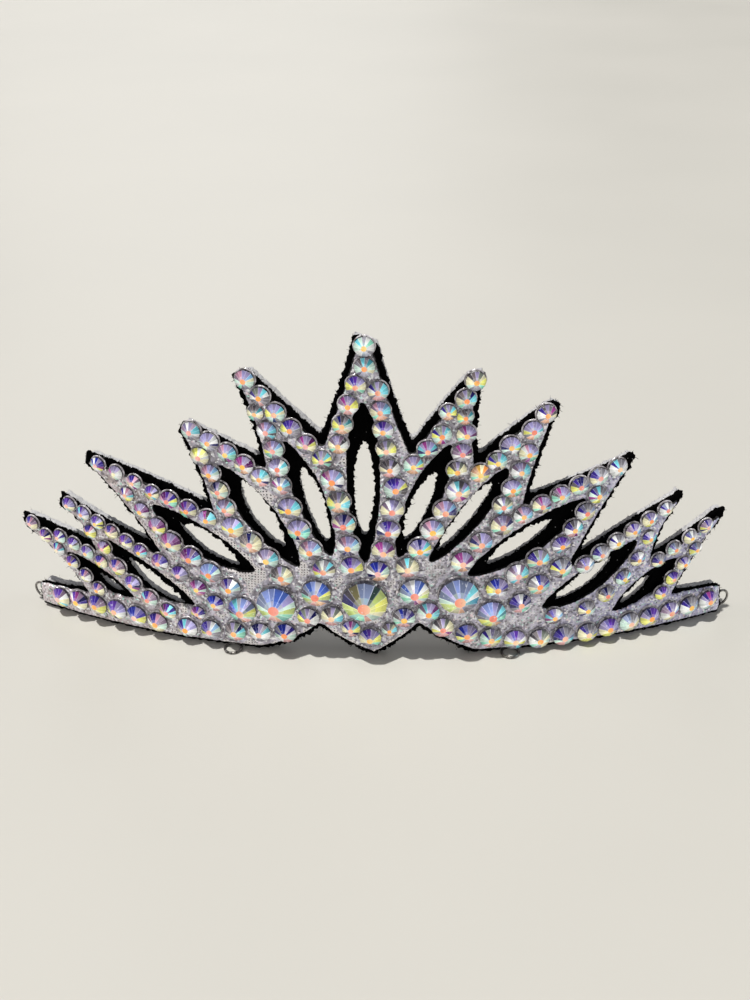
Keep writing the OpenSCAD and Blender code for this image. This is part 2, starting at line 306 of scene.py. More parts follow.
def modify(piece: Piece, kind: str, **settings: object) -> None:
    """Adds a modifier to a piece and applies it.

    Args:
        piece: The piece.
        kind: Blender's type of modifier.
        **settings: The modifier's settings.
    """
    select(piece)
    modifier = piece.modifiers.new(kind.title(), kind)
    for key, value in settings.items():
        setattr(modifier, key, value)
    bpy.ops.object.modifier_apply(modifier=modifier.name)


def copy_of(master: Piece, matrix: Matrix) -> Piece:
    """Copies a modelled piece.

    Args:
        master: The piece.
        matrix: What moves the copy's mesh.

    Returns:
        The copy, with its own mesh.
    """
    copy = put(master.name, master.data.copy())
    copy.data.transform(matrix)
    return copy


def join(pieces: Sequence[Piece], name: str) -> Piece:
    """Joins pieces into one.

    Args:
        pieces: The pieces, one or more.
        name: The joined piece's name.

    Returns:
        The joined piece.
    """
    select(pieces[0])
    for piece in pieces:
        piece.select_set(True)
    if len(pieces) > 1:
        bpy.ops.object.join()
    pieces[0].name = name
    return pieces[0]


def smooth(piece: Piece, degrees: float = 180) -> None:
    """Shades a piece smooth except at edges sharper than an angle."""
    select(piece)
    bpy.ops.object.shade_smooth_by_angle(angle=math.radians(degrees))


def rows(piece: Piece, row: Row) -> np.ndarray:
    """Reads all vertices of a piece.

    Args:
        piece: The piece.
        row: What is read of each.

    Returns:
        A row of three numbers for each vertex.
    """
    flat = np.empty(len(piece.data.vertices) * 3, np.float32)
    piece.data.vertices.foreach_get(row.value, flat)
    return flat.reshape(-1, 3).astype(float)


def keep(piece: Piece, name: str, values: np.ndarray) -> None:
    """Stores a value for each vertex of a piece as an attribute."""
    attribute = piece.data.attributes.new(name, "FLOAT", "POINT")
    attribute.data.foreach_set("value", values.astype(np.float32))


def dress(piece: Piece, finish: Finish, nodes: Sequence[str] = ()) -> None:
    """Dresses a finished piece and makes it ride with the crown.

    Args:
        piece: The finished piece, with its place in its mesh.
        finish: The finish that it gets.
        nodes: CAD nodes that the piece stands for.
    """
    piece.data.materials.clear()
    piece.data.materials.append(finish.material())
    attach(piece, "root")
    if nodes:
        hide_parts(*nodes)
    LOG.info("%s has %d faces", piece.name, len(piece.data.polygons))


Number = Union[float, "Signal"]


class Signal:
    """A socket of a shader that works in Python expressions, which add its Math nodes."""

    def __init__(self, graph: Graph, socket: Optional[bpy.types.NodeSocket]) -> None:
        """Wraps an output socket of a graph."""
        self.graph = graph
        self.socket = socket

    def math(self, operation: str, first: Number, second: Number = 0.0) -> Signal:
        """One Math node over two values."""
        return self.graph.add("ShaderNodeMath", {"operation": operation}, {0: first, 1: second})

    def __add__(self, other: Number) -> Signal:
        """Sum of the value and another."""
        return self.math("ADD", self, other)

    def __sub__(self, other: Number) -> Signal:
        """The value less another."""
        return self.math("SUBTRACT", self, other)

    def __rsub__(self, other: Number) -> Signal:
        """Another less the value."""
        return self.math("SUBTRACT", other, self)

    def __mul__(self, other: Number) -> Signal:
        """Product of the value and another."""
        return self.math("MULTIPLY", self, other)

    __radd__ = __add__
    __rmul__ = __mul__

    def cosine(self) -> Signal:
        """Cosine of the value."""
        return self.math("COSINE", self)

    def angle_over(self, other: Number) -> Signal:
        """Angle whose tangent is the value over another."""
        return self.math("ARCTAN2", self, other)

    def step(self, low: float, high: float) -> Signal:
        """A smooth step from 0 at the low value to 1 at the high one."""
        return self.graph.add("ShaderNodeMapRange", {"interpolation_type": "SMOOTHSTEP"},
                              {"Value": self, "From Min": low, "From Max": high})


class Graph:
    """A material's node tree, to which one method adds every node."""

    def __init__(self, title: str) -> None:
        """Starts an empty material.

        Args:
            title: The material's title.
        """
        material = bpy.data.materials.new(title)
        material.use_nodes = True
        self.tree = material.node_tree
        self.tree.nodes.clear()

    def add(self, kind: str, settings: Optional[Mapping[str, object]] = None,
            sockets: Optional[Mapping[Union[int, str], object]] = None,
            output: Union[int, str] = 0) -> Signal:
        """Adds a node.

        Args:
            kind: The node's type.
            settings: Its settings, with a ramp's stops as places and display colours.
            sockets: Values or signals for its inputs, by name or number.
            output: The output to return, by name or number.

        Returns:
            The chosen output.
        """
        node = self.tree.nodes.new(kind)
        for key, value in (settings or {}).items():
            if key == "stops":
                for _ in value[2:]:
                    node.color_ramp.elements.new(1.0)
                for element, (place, shown) in zip(node.color_ramp.elements, value):
                    element.position = place
                    element.color = (*linear(shown), 1)
            else:
                setattr(node, key, value)
        for key, value in (sockets or {}).items():
            if isinstance(value, Signal):
                self.tree.links.new(value.socket, node.inputs[key])
            else:
                node.inputs[key].default_value = value
        return Signal(self, node.outputs[output] if node.outputs else None)

    def mix(self, share: Number, first: object, second: object) -> Signal:
        """A mixture of two colours, each a signal or a display colour."""
        low, high = (c if isinstance(c, Signal) else (*linear(c), 1) for c in (first, second))
        return self.add("ShaderNodeMix", {"data_type": "RGBA"}, {0: share, 6: low, 7: high}, 2)

    def cover(self, colour: object, *coats: tuple[Signal, object]) -> Signal:
        """Covers a colour with others.

        Args:
            colour: The colour at the bottom.
            *coats: The share that each other colour covers, and that colour, in order.

        Returns:
            The colour that shows.
        """
        for share, coat in coats:
            colour = self.mix(share, colour, coat)
        return colour

    def ramp(self, value: Signal, *stops: tuple[float, Colour]) -> Signal:
        """The colour that a ramp of places and display colours gives a value."""
        return self.add("ShaderNodeValToRGB", {"stops": stops}, {0: value})

    def place(self) -> Signal:
        """The place in the object's own space, in millimetres."""
        place = self.add("ShaderNodeTexCoord", output="Object")
        return self.add("ShaderNodeVectorMath", {"operation": "SCALE"}, {0: place, "Scale": 1 / MM})

    def sheet_place(self) -> tuple[Signal, Signal, Signal]:
        """Finds the place on the sheet.

        Returns:
            The place along the sheet's arc and up it in millimetres, and both as a vector.
        """
        place = self.place()
        across, depth, up = (self.add("ShaderNodeSeparateXYZ", None, {0: place}, axis)
                             for axis in range(3))
        along = across.angle_over(AXIS_Y / MM - depth) * (FACE_RADIUS / MM)
        return along, up, self.add("ShaderNodeCombineXYZ", None, {0: along, 1: up})

    def noise(self, place: Signal, cells: float, detail: float = 2.0) -> Signal:
        """Noise over a place, with a number of cells in each millimetre."""
        sockets = {"Vector": place, "Scale": cells, "Detail": detail}
        return self.add("ShaderNodeTexNoise", None, sockets)

    def cells(self, place: Signal, cells: float, output: str) -> Signal:
        """Random cells over a place: the "Color" of each or the "Distance" to its middle."""
        return self.add("ShaderNodeTexVoronoi", None, {"Vector": place, "Scale": cells}, output)

    def channel(self, colour: Signal, number: int) -> Signal:
        """One channel of a colour as a value."""
        return self.add("ShaderNodeSeparateColor", None, {0: colour}, number)

    def attribute(self, name: str, output: str) -> Signal:
        """An attribute of the piece's mesh, as its "Color" or its "Fac" value."""
        return self.add("ShaderNodeAttribute", {"attribute_name": name}, output=output)

    def bump(self, height: Signal, depth: float, normal: Optional[Signal] = None) -> Signal:
        """The normal under a height from 0 to 1 that stands for a depth in millimetres."""
        base = {"Normal": normal} if normal else {}
        return self.add("ShaderNodeBump", None, {"Height": height, "Distance": depth * MM, **base})

    def end(self, sockets: Mapping[str, object]) -> None:
        """Ends the tree in a Principled shader with the given values or signals."""
        shader = self.add("ShaderNodeBsdfPrincipled", None, sockets)
        self.add("ShaderNodeOutputMaterial", None, {"Surface": shader})


@dataclass(frozen=True)
class Finish:
    """A surface finish, made once and worn by any number of pieces."""

    title: str

    def material(self) -> bpy.types.Material:
        """Paints the finish when a piece first asks for it.

        Returns:
            The finish's material.
        """
        if self.title not in bpy.data.materials:
            self.paint(Graph(self.title))
        return bpy.data.materials[self.title]

    def paint(self, graph: Graph) -> None:
        """Adds the finish's nodes to an empty graph."""
        raise NotImplementedError


@dataclass(frozen=True)
class GlitterCloth(Finish):
    """Silver-grey mesh cloth, strewn with glitter and flooded with clear glue round the stones.

    Spans are in millimetres: glue_reach from a stone, middle, flank and tail along the sheet, and
    above_foot up it.
    """

    title: str = "glitter_cloth"
    weave_pitch: float = 0.68
    flakes_per_mm: float = 2.3
    glue_reach: Span = (1.75, 2.2)
    middle: Span = (0, 18)
    flank: Span = (28, 60)
    tail: Span = (45, 60)
    above_foot: Span = (8.5, 10.5)
    bare_cloth: Colour = (1.0, 0.98, 0.98)
    warm: Colour = (0.86, 0.76, 0.70)
    cool: Colour = (0.66, 0.67, 0.90)
    fleck_and_shade: Colour = (0.26, 0.25, 0.27)
    hole: Colour = (0.10, 0.10, 0.11)
    black: Colour = (0.03, 0.03, 0.03)

    def paint(self, graph: Graph) -> None:
        """Adds weave, glue, flakes, dark rim, painted shade by the stones, painted sparkle and a
        glow.

        Args:
            graph: The empty graph.
        """
        along, up, place = graph.sheet_place()
        leftward = along * -1
        drift = graph.noise(place, 0.25, 1.0) * 9.0
        turn = FULL_TURN / self.weave_pitch
        net = (along * turn + drift).cosine() + (up * turn - drift).cosine()
        reach = graph.attribute(GLUE_REACH, "Fac")
        bare = (reach + graph.noise(place, 0.3) * 1.4).step(*self.glue_reach)
        bare = bare * (1 - along.step(*self.middle) * 0.72) * (1 - leftward.step(*self.tail) * 0.8)
        holes = net.step(0.9, 1.4) * bare
        flake = graph.cells(place, self.flakes_per_mm, "Color")
        chance, hue, shade = (graph.channel(flake, i) for i in range(3))
        ground = graph.ramp(graph.noise(place, 0.5, 4.0), (0.34, (0.50, 0.48, 0.52)),
                            (0.5, (0.72, 0.70, 0.76)), (0.64, (0.90, 0.88, 0.95)))
        # Flakes: their own silver, painted near white and pastel as painted sparkle.
        bright = graph.ramp(hue, (0.0, (0.95, 0.84, 0.88)), (0.15, (1.0, 1.0, 1.0)),
                            (0.8, (0.93, 0.94, 0.98)), (1.0, (0.74, 0.95, 0.88)))
        lit = chance.step(0.70, 0.76) * (1 - bare * 0.7)
        rim = (graph.attribute(EDGE_SHARE, "Fac") + graph.noise(place, 2.5) * 0.3).step(0.50, 0.80)
        rim = rim * up.step(*self.above_foot)
        colour = graph.cover(
            ground, (bare * 0.92, self.bare_cloth), (leftward.step(*self.flank) * 0.30, self.warm),
            (along.step(*self.flank) * 0.38, self.cool),
            # Dark glitter flecks; the same grey also lies within half a millimetre of each stone as
            # painted shade.
            (shade.step(0.76, 0.84) * (0.62 - bare * 0.35), self.fleck_and_shade),
            ((1 - reach.step(0.1, 0.5)) * 0.5, self.fleck_and_shade), (lit * 0.9, bright),
            (holes * 0.9, self.hole), (rim, self.black))
        tilt = graph.add("ShaderNodeVectorMath", {"operation": "MULTIPLY_ADD"},
                         {0: flake, 1: (0.7, 0.7, 0.7), 2: (-0.35, -0.35, -0.35)})
        normal = graph.add("ShaderNodeNewGeometry", output="Normal")
        tilted = graph.add("ShaderNodeVectorMath", {"operation": "ADD"}, {0: normal, 1: tilt})
        height = graph.noise(place, 1.4) * 0.6 - holes * 0.35
        # The emission makes the cloth glow a little: painted light.
        graph.end({
            "Base Color": colour, "Roughness": 0.24 + bare * 0.3 + rim * 0.4,
            "Metallic": lit * 0.5, "Normal": graph.bump(height, 0.25, tilted),
            "Coat Weight": (1 - bare) * (1 - rim) * 0.7, "Coat Roughness": 0.08,
            "Emission Color": colour, "Emission Strength": 0.14})


@dataclass(frozen=True)
class ClearGlue(Finish):
    """Gel glue that swells round a stone, greyed by the cloth that it shows."""

    title: str = "clear_glue"
    specks_per_mm: float = 2.3
    speck: Colour = (0.96, 0.95, 0.97)

    def paint(self, graph: Graph) -> None:
        """Adds the glue's clouds, specks, wet sheen and a faint painted glow.

        Args:
            graph: The empty graph.
        """
        place = graph.place()
        clouds = graph.ramp(graph.noise(place, 0.9, 3.0), (0.34, (0.40, 0.38, 0.39)),
                            (0.5, (0.62, 0.60, 0.62)), (0.64, (0.82, 0.80, 0.83)))
        chosen = graph.channel(graph.cells(place, self.specks_per_mm, "Color"), 0).step(0.84, 0.90)
        colour = graph.mix(chosen * 0.8, clouds, self.speck)
        # The faint emission makes the glue glow: painted light.
        graph.end({
            "Base Color": colour, "Roughness": 0.16, "Coat Weight": 1.0, "Coat Roughness": 0.04,
            "Specular IOR Level": 0.6, "Normal": graph.bump(graph.noise(place, 2.2), 0.08),
            "Emission Color": colour, "Emission Strength": 0.06})


@dataclass(frozen=True)
class Felt(Finish):
    """Pressed felt of one colour, with matted fibres, clouds and lint."""

    title: str
    dark: Colour
    light: Colour
    lint: Colour
    lint_share: float
    sheen: float
    gloss: float
    lint_per_mm: float = 0.9

    def paint(self, graph: Graph) -> None:
        """Adds the felt's clouds, fibres and lint.

        Args:
            graph: The empty graph.
        """
        place = graph.place()
        stretched = graph.add("ShaderNodeMapping", None, {
            "Vector": place, "Rotation": (0.4, 0.7, 0.3), "Scale": (1.0, 1.0, 0.3)})
        fibres = graph.noise(stretched, 5.0, 3.0)
        clouds = graph.noise(place, 0.35, 3.0)
        tufts = graph.noise(place, 1.6)
        colour = graph.ramp(fibres * 0.45 + clouds * 0.3 + tufts * 0.25,
                            (0.38, self.dark), (0.62, self.light))
        middle = 1 - graph.cells(place, self.lint_per_mm, "Distance").step(0.05, 0.13)
        chosen = graph.channel(graph.cells(place, self.lint_per_mm, "Color"), 0).step(0.74, 0.78)
        colour = graph.mix(middle * chosen * self.lint_share, colour, self.lint)
        graph.end({
            "Base Color": colour, "Roughness": 0.95, "Sheen Weight": self.sheen,
            "Sheen Roughness": 0.4, "Specular IOR Level": self.gloss,
            "Normal": graph.bump(fibres * 0.7 + tufts * 0.5, 0.22)})


@dataclass(frozen=True)
class CoatedGlass(Finish):
    """Cut glass with a rainbow coating, whose facets carry painted reflections as tints and glow.
    """

    title: str = "coated_glass"
    depth: Colour = (0.22, 0.22, 0.28)
    glint: Colour = (0.97, 0.98, 1.0)

    def paint(self, graph: Graph) -> None:
        """Adds the facets' tints, painted inner shade and glints, the polish and a painted glow.

        Args:
            graph: The empty graph.
        """
        place = graph.place()
        # Painted glints whiten noise patches; painted shade darkens others toward depth.
        glints = graph.noise(place, 1.5, 3.0).step(0.62, 0.74)
        shades = 1 - graph.noise(place, 1.1, 1.0).step(0.30, 0.48)
        colour = graph.cover(graph.attribute(FACET_TINT, "Color"),
                             (shades * 0.16, self.depth), (glints * 0.35, self.glint))
        # The emission makes the stones glow: painted light.
        graph.end({
            "Base Color": colour, "Roughness": 0.12, "Metallic": 0.2, "Specular IOR Level": 0.4,
            "Coat Weight": 0.6, "Coat Roughness": 0.02, "Coat IOR": 1.5,
            "Emission Color": colour, "Emission Strength": 0.44})


@dataclass(frozen=True)
class LoopWire(Finish):
    """Drawn steel wire, bright with fine scratches and a little tarnish."""

    title: str = "drawn_steel_wire"
    tarnish: Colour = (0.36, 0.35, 0.34)
    steel: Colour = (0.62, 0.61, 0.60)

    def paint(self, graph: Graph) -> None:
        """Adds the wire's tarnish and scratches.

        Args:
            graph: The empty graph.
        """
        place = graph.place()
        scratches = graph.noise(place, 9.0)
        colour = graph.ramp(graph.noise(place, 1.2, 3.0), (0.35, self.tarnish), (0.6, self.steel))
        graph.end({
            "Base Color": colour, "Metallic": 1.0, "Roughness": 0.18 + scratches * 0.18,
            "Normal": graph.bump(scratches, 0.015)})


@dataclass(frozen=True)
class PaleTop(Finish):
    """The pale satin top that the crown stands on."""

    title: str = "pale_top"
    dim: Colour = (0.792, 0.786, 0.765)
    bright: Colour = (0.807, 0.800, 0.779)

    def paint(self, graph: Graph) -> None:
        """Adds the top's faint clouds.

        Args:
            graph: The empty graph.
        """
        clouds = graph.noise(graph.place(), 0.006, 3.0)
        colour = graph.ramp(clouds, (0.3, self.dim), (0.7, self.bright))
        graph.end({"Base Color": colour, "Roughness": 0.45 + clouds * 0.1})


@dataclass
class Stone:
    """Where a stone sits on the sheet, and how wide it is."""

    node: str
    angle: float
    up: float
    diameter: float
    seat: float = 0.04 * MM
    spread: float = 0.12 * MM

    def matrix(self, turn: float) -> Matrix:
        """The matrix that sets a stone of unit width in its place, turned about its middle."""
        place = Sheet.turned(self.angle, self.up, FACE_RADIUS + self.seat)
        return place @ Matrix.Rotation(turn, 4, "Z") @ Matrix.Scale(self.diameter, 4)

    @classmethod
    def read(cls, nodes: Sequence[str]) -> list[Stone]:
        """Reads stones from the loose parts of CAD nodes, one from each part.

        Args:
            nodes: The nodes' names.

        Returns:
            The stones, ordered by node and then along the sheet.
        """
        stones = []
        for node in nodes:
            copy_node(node, "loose_parts")
            bpy.ops.mesh.separate(type="LOOSE")
            for part in list(bpy.context.selected_objects):
                places = rows(part, Row.PLACE)
                up = (places[:, 2].max() + places[:, 2].min()) / 2
                diameter = float(np.ptp(places[:, 2])) + cls.spread
                stones.append(cls(node, Sheet.angle(places.mean(0)), up, diameter))
                bpy.data.objects.remove(part)
        return sorted(stones, key=lambda s: (s.node, round(s.angle, 4), s.up))


@dataclass
class ClothLayer:
    """One cloth layer of the sheet, with its CAD node's shape, a frayed rim and an uneven face.

    From grain to pinch_reach, lengths are in millimetres. The rim grows by growth, more where it
    looks down (below) or up (above in the peaks, plus sides for the left and the right one, and
    tails on the tails), and lip leans it out of the face. Two shifts go along the sheet and up
    it: slip moves the flanks, less and mirrored on the left, and pinch moves the blunt tips, whose
    places are in millimetres along the sheet and up it.
    """

    node: str
    name: str
    slot: str
    finish: Finish
    flat: Span
    area: float
    rests_on: str
    grain: float
    fray: float
    unevenness: float
    growth: float
    below: float
    lip: float
    rounding: int
    seed: int
    tails: float = 0.0
    above: float = 0.0
    sides: Span = (0.0, 0.0)
    slip: Span = (0.0, 0.0)
    pinch: Span = (-0.4, 0.9)
    pinch_reach: float = 2.4
    coarse_cells: float = 900
    fine_cells: float = 1700
    flanks_from: float = 0.10
    flanks_over: float = 0.14
    tails_top: float = 9.5 * MM
    peaks_over: float = 8 * MM
    peaks_start: float = 1.25
    slip_over: float = 12 * MM
    left_slip: float = 0.55
    blunt_tips: tuple[Span, ...] = ((56.4, 44.7), (69.3, 33.4), (80.7, 27.0))

    def build(self) -> Piece:
        """Models and dresses the layer.

        Returns:
            The finished piece.
        """
        piece = copy_node(self.node, self.name)
        modify(piece, "REMESH", mode="VOXEL", voxel_size=self.grain * MM)
        modify(piece, "SMOOTH", factor=0.5, iterations=self.rounding)
        self.roughen(piece)
        smooth(piece)
        dress(piece, self.finish, [self.node])
        return piece

    def lay(self, piece: Piece, fibres: Sequence[Piece] = ()) -> None:
        """Does nothing with the finished layer.

        Args:
            piece: The finished layer; not used.
            fibres: The loose fibres that stand out of its rim; not used.
        """

    def roughen(self, piece: Piece) -> None:
        """Frays the rim along the sheet, makes the face uneven and moves what sits askew.

        Args:
            piece: The layer, as smooth as its CAD node.
        """
        places, normals = rows(piece, Row.PLACE), rows(piece, Row.NORMAL)
        outward, angle = Sheet.outward(places), Sheet.angles(places)
        facing = (normals * outward).sum(1)
        sideways = normals - outward * facing[:, None]
        share = np.linalg.norm(sideways, axis=1)
        shift = Vector((self.seed, 0, 0))
        coarse, fine = (np.array([noise.noise(Vector(p) * cells + shift) for p in places])
                        for cells in (self.coarse_cells, self.fine_cells))
        left, right = (np.clip((angle * side - self.flanks_from) / self.flanks_over, 0, 1)
                       for side in (-1, 1))
        upward = np.maximum(sideways[:, 2], 0)
        rise = self.above + self.sides[0] * left + self.sides[1] * right
        rise *= np.clip(places[:, 2] / self.peaks_over - self.peaks_start, 0, 1)
        growth = self.growth + self.below * np.maximum(-sideways[:, 2], 0)
        growth += rise * upward ** 2
        growth += self.tails * upward * (places[:, 2] < self.tails_top)
        places += sideways * (((coarse * 0.5 + fine * 1.1) * self.fray + growth) * MM)[:, None]
        lift = coarse * np.sign(facing) * (1 - share) * self.unevenness
        places += outward * ((lift + share * (0.7 + coarse) * self.lip) * MM)[:, None]
        self.move(places, angle, left, right, np.cross(outward, (0, 0, -1)))
        places[:, 2] = np.maximum(places[:, 2], 0)
        piece.data.vertices.foreach_set("co", places.astype(np.float32).ravel())
        piece.data.update()
        keep(piece, EDGE_SHARE, share)

    def move(self, places: np.ndarray, angle: np.ndarray, left: np.ndarray, right: np.ndarray,
             along: np.ndarray) -> None:
        """Slips the flanks and pinches the blunt tips.

        Args:
            places: The layer's points, which are moved.
            angle: The angle of each round the axis.
            left: How far each is in the left flank, from 0 to 1.
            right: How far each is in the right flank.
            along: The direction along the sheet at each.
        """
        tall = (np.clip(places[:, 2] / self.slip_over, 0, 1) * MM)[:, None]
        places[:, 2:] += (right + left * self.left_slip)[:, None] * tall * self.slip[1]
        places += along * (right - left * self.left_slip)[:, None] * tall * self.slip[0]
        for across, up in self.blunt_tips:
            away = np.hypot(angle * FACE_RADIUS / MM - across, places[:, 2] / MM - up)
            near = (np.clip(1 - away / self.pinch_reach, 0, 1) * MM)[:, None]
            places[:, 2:] += near * self.pinch[1]
            places += along * near * self.pinch[0]


@dataclass
class GlitterFace(ClothLayer):
    """The glitter cloth face, which knows how near each place is to a stone's glue."""

    stones: Sequence[Stone] = ()
    neighbours: int = 5

    def roughen(self, piece: Piece) -> None:
        """Frays the rim, then stores each point's distance from the nearest stone in millimetres.

        Args:
            piece: The layer, as smooth as its CAD node.
        """
        super().roughen(piece)
        tree = kdtree.KDTree(len(self.stones))
        for i, stone in enumerate(self.stones):
            tree.insert((stone.angle * FACE_RADIUS, stone.up, 0), i)
        tree.balance()
        reach = []
        for place in rows(piece, Row.PLACE):
            near = tree.find_n((Sheet.angle(place) * FACE_RADIUS, place[2], 0), self.neighbours)
            reach.append(min(d - self.stones[i].diameter / 2 for _, i, d in near) / MM)
        keep(piece, GLUE_REACH, np.array(reach))


@dataclass
class Cut:
    """The cut of a flat-backed stone, in shares of its width."""

    sides: int
    table: float
    height: float
    girdle: float = 0.17
    foot: float = 0.86
    waist: float = 0.30
    uneven: float = 3.5
    edge: float = 0.008
    near: float = 1e-4

    def model(self) -> Piece:
        """Models the stone at unit width, its flat foot on z = 0.

        Returns:
            The master piece, to be copied.
        """
        select()
        bpy.ops.mesh.primitive_cylinder_add(vertices=self.sides, radius=0.5, depth=self.girdle,
                                            location=(0, 0, self.girdle / 2))
        stone = edit("cut_stone")
        pick(stone, Part.FACES, lambda f: f.normal.z < -0.9)
        bpy.ops.transform.resize(value=(self.foot, self.foot, 1), center_override=(0, 0, 0))
        rise = self.height - self.girdle
        widths = (1.0, 1 - (1 - self.table) * (1 - self.waist), self.table)
        lifts = (rise * (1 - self.waist), rise * self.waist)
        for lift, before, after in zip(lifts, widths, widths[1:]):
            pick(stone, Part.FACES, lambda f: f.normal.z > 0.9)
            bpy.ops.mesh.extrude_region_move(TRANSFORM_OT_translate={"value": (0, 0, lift)})
            bpy.ops.transform.resize(value=(after / before, after / before, 1),
                                     center_override=(0, 0, 0))
        step = FULL_TURN / self.sides
        pick(stone, Part.VERTS, lambda v: round(math.atan2(v.co.y, v.co.x) / step) % 2 == 1)
        bpy.ops.transform.rotate(value=math.radians(self.uneven), orient_axis="Z",
                                 center_override=(0, 0, 0))
        pick(stone, Part.EDGES, self.is_sharp)
        bpy.ops.mesh.bevel(offset=self.edge, offset_type="OFFSET", segments=1, affect="EDGES")
        select()
        return stone

    def is_sharp(self, edge: bmesh.types.BMEdge) -> bool:
        """Tells which edges are bevelled.

        Args:
            edge: An edge of the stone.

        Returns:
            Whether it lies between two facets of the crown or bounds them.
        """
        low, high = sorted(v.co.z for v in edge.verts)
        level = high - low < self.near
        bounds = any(abs(low - z) < self.near for z in (self.height, self.girdle))
        return (level and bounds) or (not level and low > self.girdle - self.near)

    def kinds(self, mesh: bpy.types.Mesh) -> list[Kind]:
        """Sorts the master's faces.

        Args:
            mesh: The master's mesh.

        Returns:
            The kind of each face.
        """
        found = []
        for face in mesh.polygons:
            if face.normal.z < -0.9:
                found.append(Kind.FOOT)
            elif face.center.z < self.girdle - self.near:
                found.append(Kind.GIRDLE)
            elif face.normal.z > 0.999:
                found.append(Kind.TABLE)
            else:
                sides = [(mesh.vertices[a].co - mesh.vertices[b].co).length
                         for a, b in face.edge_keys]
                wide = len(sides) == 4 and min(sides) > 3 * self.edge
                found.append(Kind.WEDGE if wide else Kind.EDGE)
        return found


@dataclass(frozen=True)
class Tinting:
    """Which tints a stone's facets take as painted reflections, by where they face and where it
    sits.

    Where a stone sits is its angle round the sheet, or millimetres along and up it. Where a facet
    faces is in degrees, clockwise from 12 o'clock, and a sector's number is where it ends.
    """

    surprise: float = 0.09
    surprises: tuple[Tint, ...] = named(Tint, "PEARL NAVY CYAN MAGENTA SMOKE PEARL")
    fan_reach: Span = (58, 72)
    widening: float = 26.0
    widest_at: float = 0.3
    lean: float = 0.6
    sectors: tuple[tuple[int, tuple[Tint, ...]], ...] = (
        (105, named(Tint, "CYAN PALE_MINT PEARL CREAM LEMON")),
        (150, named(Tint, "MINT PALE_MINT PEARL CREAM GREY")),
        (208, named(Tint, "PEACH GREY BLUSH TAUPE SILVER")),
        (250, named(Tint, "PALE_MINT MINT GREY PEARL")),
        (360, named(Tint, "LEMON PEARL CREAM PALE_MINT CREAM")))
    tails_from: float = 0.24
    tail_ends: tuple[int, ...] = (150, 208, 360)
    tail_side: tuple[Tint, ...] = named(Tint, "LEMON PEARL CREAM CREAM PALE_MINT CREAM")
    left_from: float = -0.20
    left_fans: tuple[Fan, ...] = named(Fan, "VIOLET PLUM WINE PLUM WINE MAGENTA ROYAL")
    right_from: float = 0.22
    right_fans: tuple[Fan, ...] = named(Fan, "NIGHT STEEL NIGHT PEARL STEEL VIOLET DUSK")
    peaks_from: float = 26 * MM
    peak_fans: tuple[Fan, ...] = named(
        Fan, "SAGE LILAC MAUVE LILAC SMOKE DAWN MAGENTA VIOLET DAWN")
    base_fans: tuple[Fan, ...] = named(Fan, "SAGE VIOLET MAUVE PEARL SMOKE DUSK MAGENTA SKY ROYAL")
    chosen_within: float = 1.6
    # Single stones: FLARE and EMBER are painted highlights, flares on those stones; a few chosen
    # stones get dull grey fans.
    chosen_fans: tuple[tuple[float, float, Fan], ...] = (
        (-0.1, 73.5, Fan.FROST), (-0.1, 69.3, Fan.DUST), (-34.6, 48.1, Fan.FLARE),
        (22.6, 45.6, Fan.EMBER), (-22.1, 58.8, Fan.DUST), (19.4, 58.3, Fan.DUST),
        (-4.8, 57.0, Fan.DUST), (20.6, 6.2, Fan.ROYAL), (-18.9, 5.9, Fan.ROYAL))
    pale_tops_from: float = -0.28
    pale_tops: tuple[Tint, ...] = named(Tint, "CREAM BLUSH PEACH AMBER")
    tops: tuple[Tint, ...] = named(Tint, "ORANGE ORANGE PEACH CORAL AMBER AMBER BLUSH")
    second_tops: tuple[Tint, ...] = named(Tint, "BLUSH CREAM CORAL AMBER")

    def fan(self, dice: random.Random, angle: float, up: float) -> Fan:
        """Chooses the fan of a stone's upper facets.

        Args:
            dice: The random numbers.
            angle: The stone's angle round the sheet.
            up: Its height above the floor.

        Returns:
            The fan.
        """
        place = (angle * FACE_RADIUS / MM, up / MM)
        for along, height, chosen in self.chosen_fans:
            if math.dist((along, height), place) < self.chosen_within:
                return chosen
        if angle < self.left_from:
            return dice.choice(self.left_fans)
        if angle > self.right_from:
            return dice.choice(self.right_fans)
        return dice.choice(self.peak_fans if up > self.peaks_from else self.base_fans)

    def top(self, dice: random.Random, angle: float) -> Tint:
        """A table's tint for a stone at an angle round the sheet."""
        return dice.choice(self.pale_tops if angle < self.pale_tops_from else self.tops)

    def wedges(self, dice: random.Random, angle: float, up: float, count: int) -> list[Tint]:
        """Chooses the tints of a stone's wedges.

        Args:
            dice: The random numbers.
            angle: The stone's angle round the sheet.
            up: Its height above the floor.
            count: How many wedges it has.

        Returns:
            A tint for each wedge, clockwise from 12 o'clock.
        """
        fan, found = self.fan(dice, angle, up).value, []
        reach = dice.uniform(*self.fan_reach) + self.widening * min(abs(angle) / self.widest_at, 1)
        lean = math.degrees(angle) * self.lean
        sectors = self.sectors
        if abs(angle) > self.tails_from:
            sectors = [(limit, self.tail_side) for limit in self.tail_ends]
        sides = [(limit, dice.choice(tints)) for limit, tints in sectors]
        for i in range(count):
            turn = (i * 360 / count - lean) % 360
            if dice.random() < self.surprise:
                found.append(dice.choice(self.surprises))
            elif turn <= reach or turn >= 360 - reach:
                across = ((turn + reach) % 360) / (2 * reach + 1)
                found.append(fan[int(across * len(fan))])
            else:
                found.append(next(tint for limit, tint in sides if turn < limit))
        return found


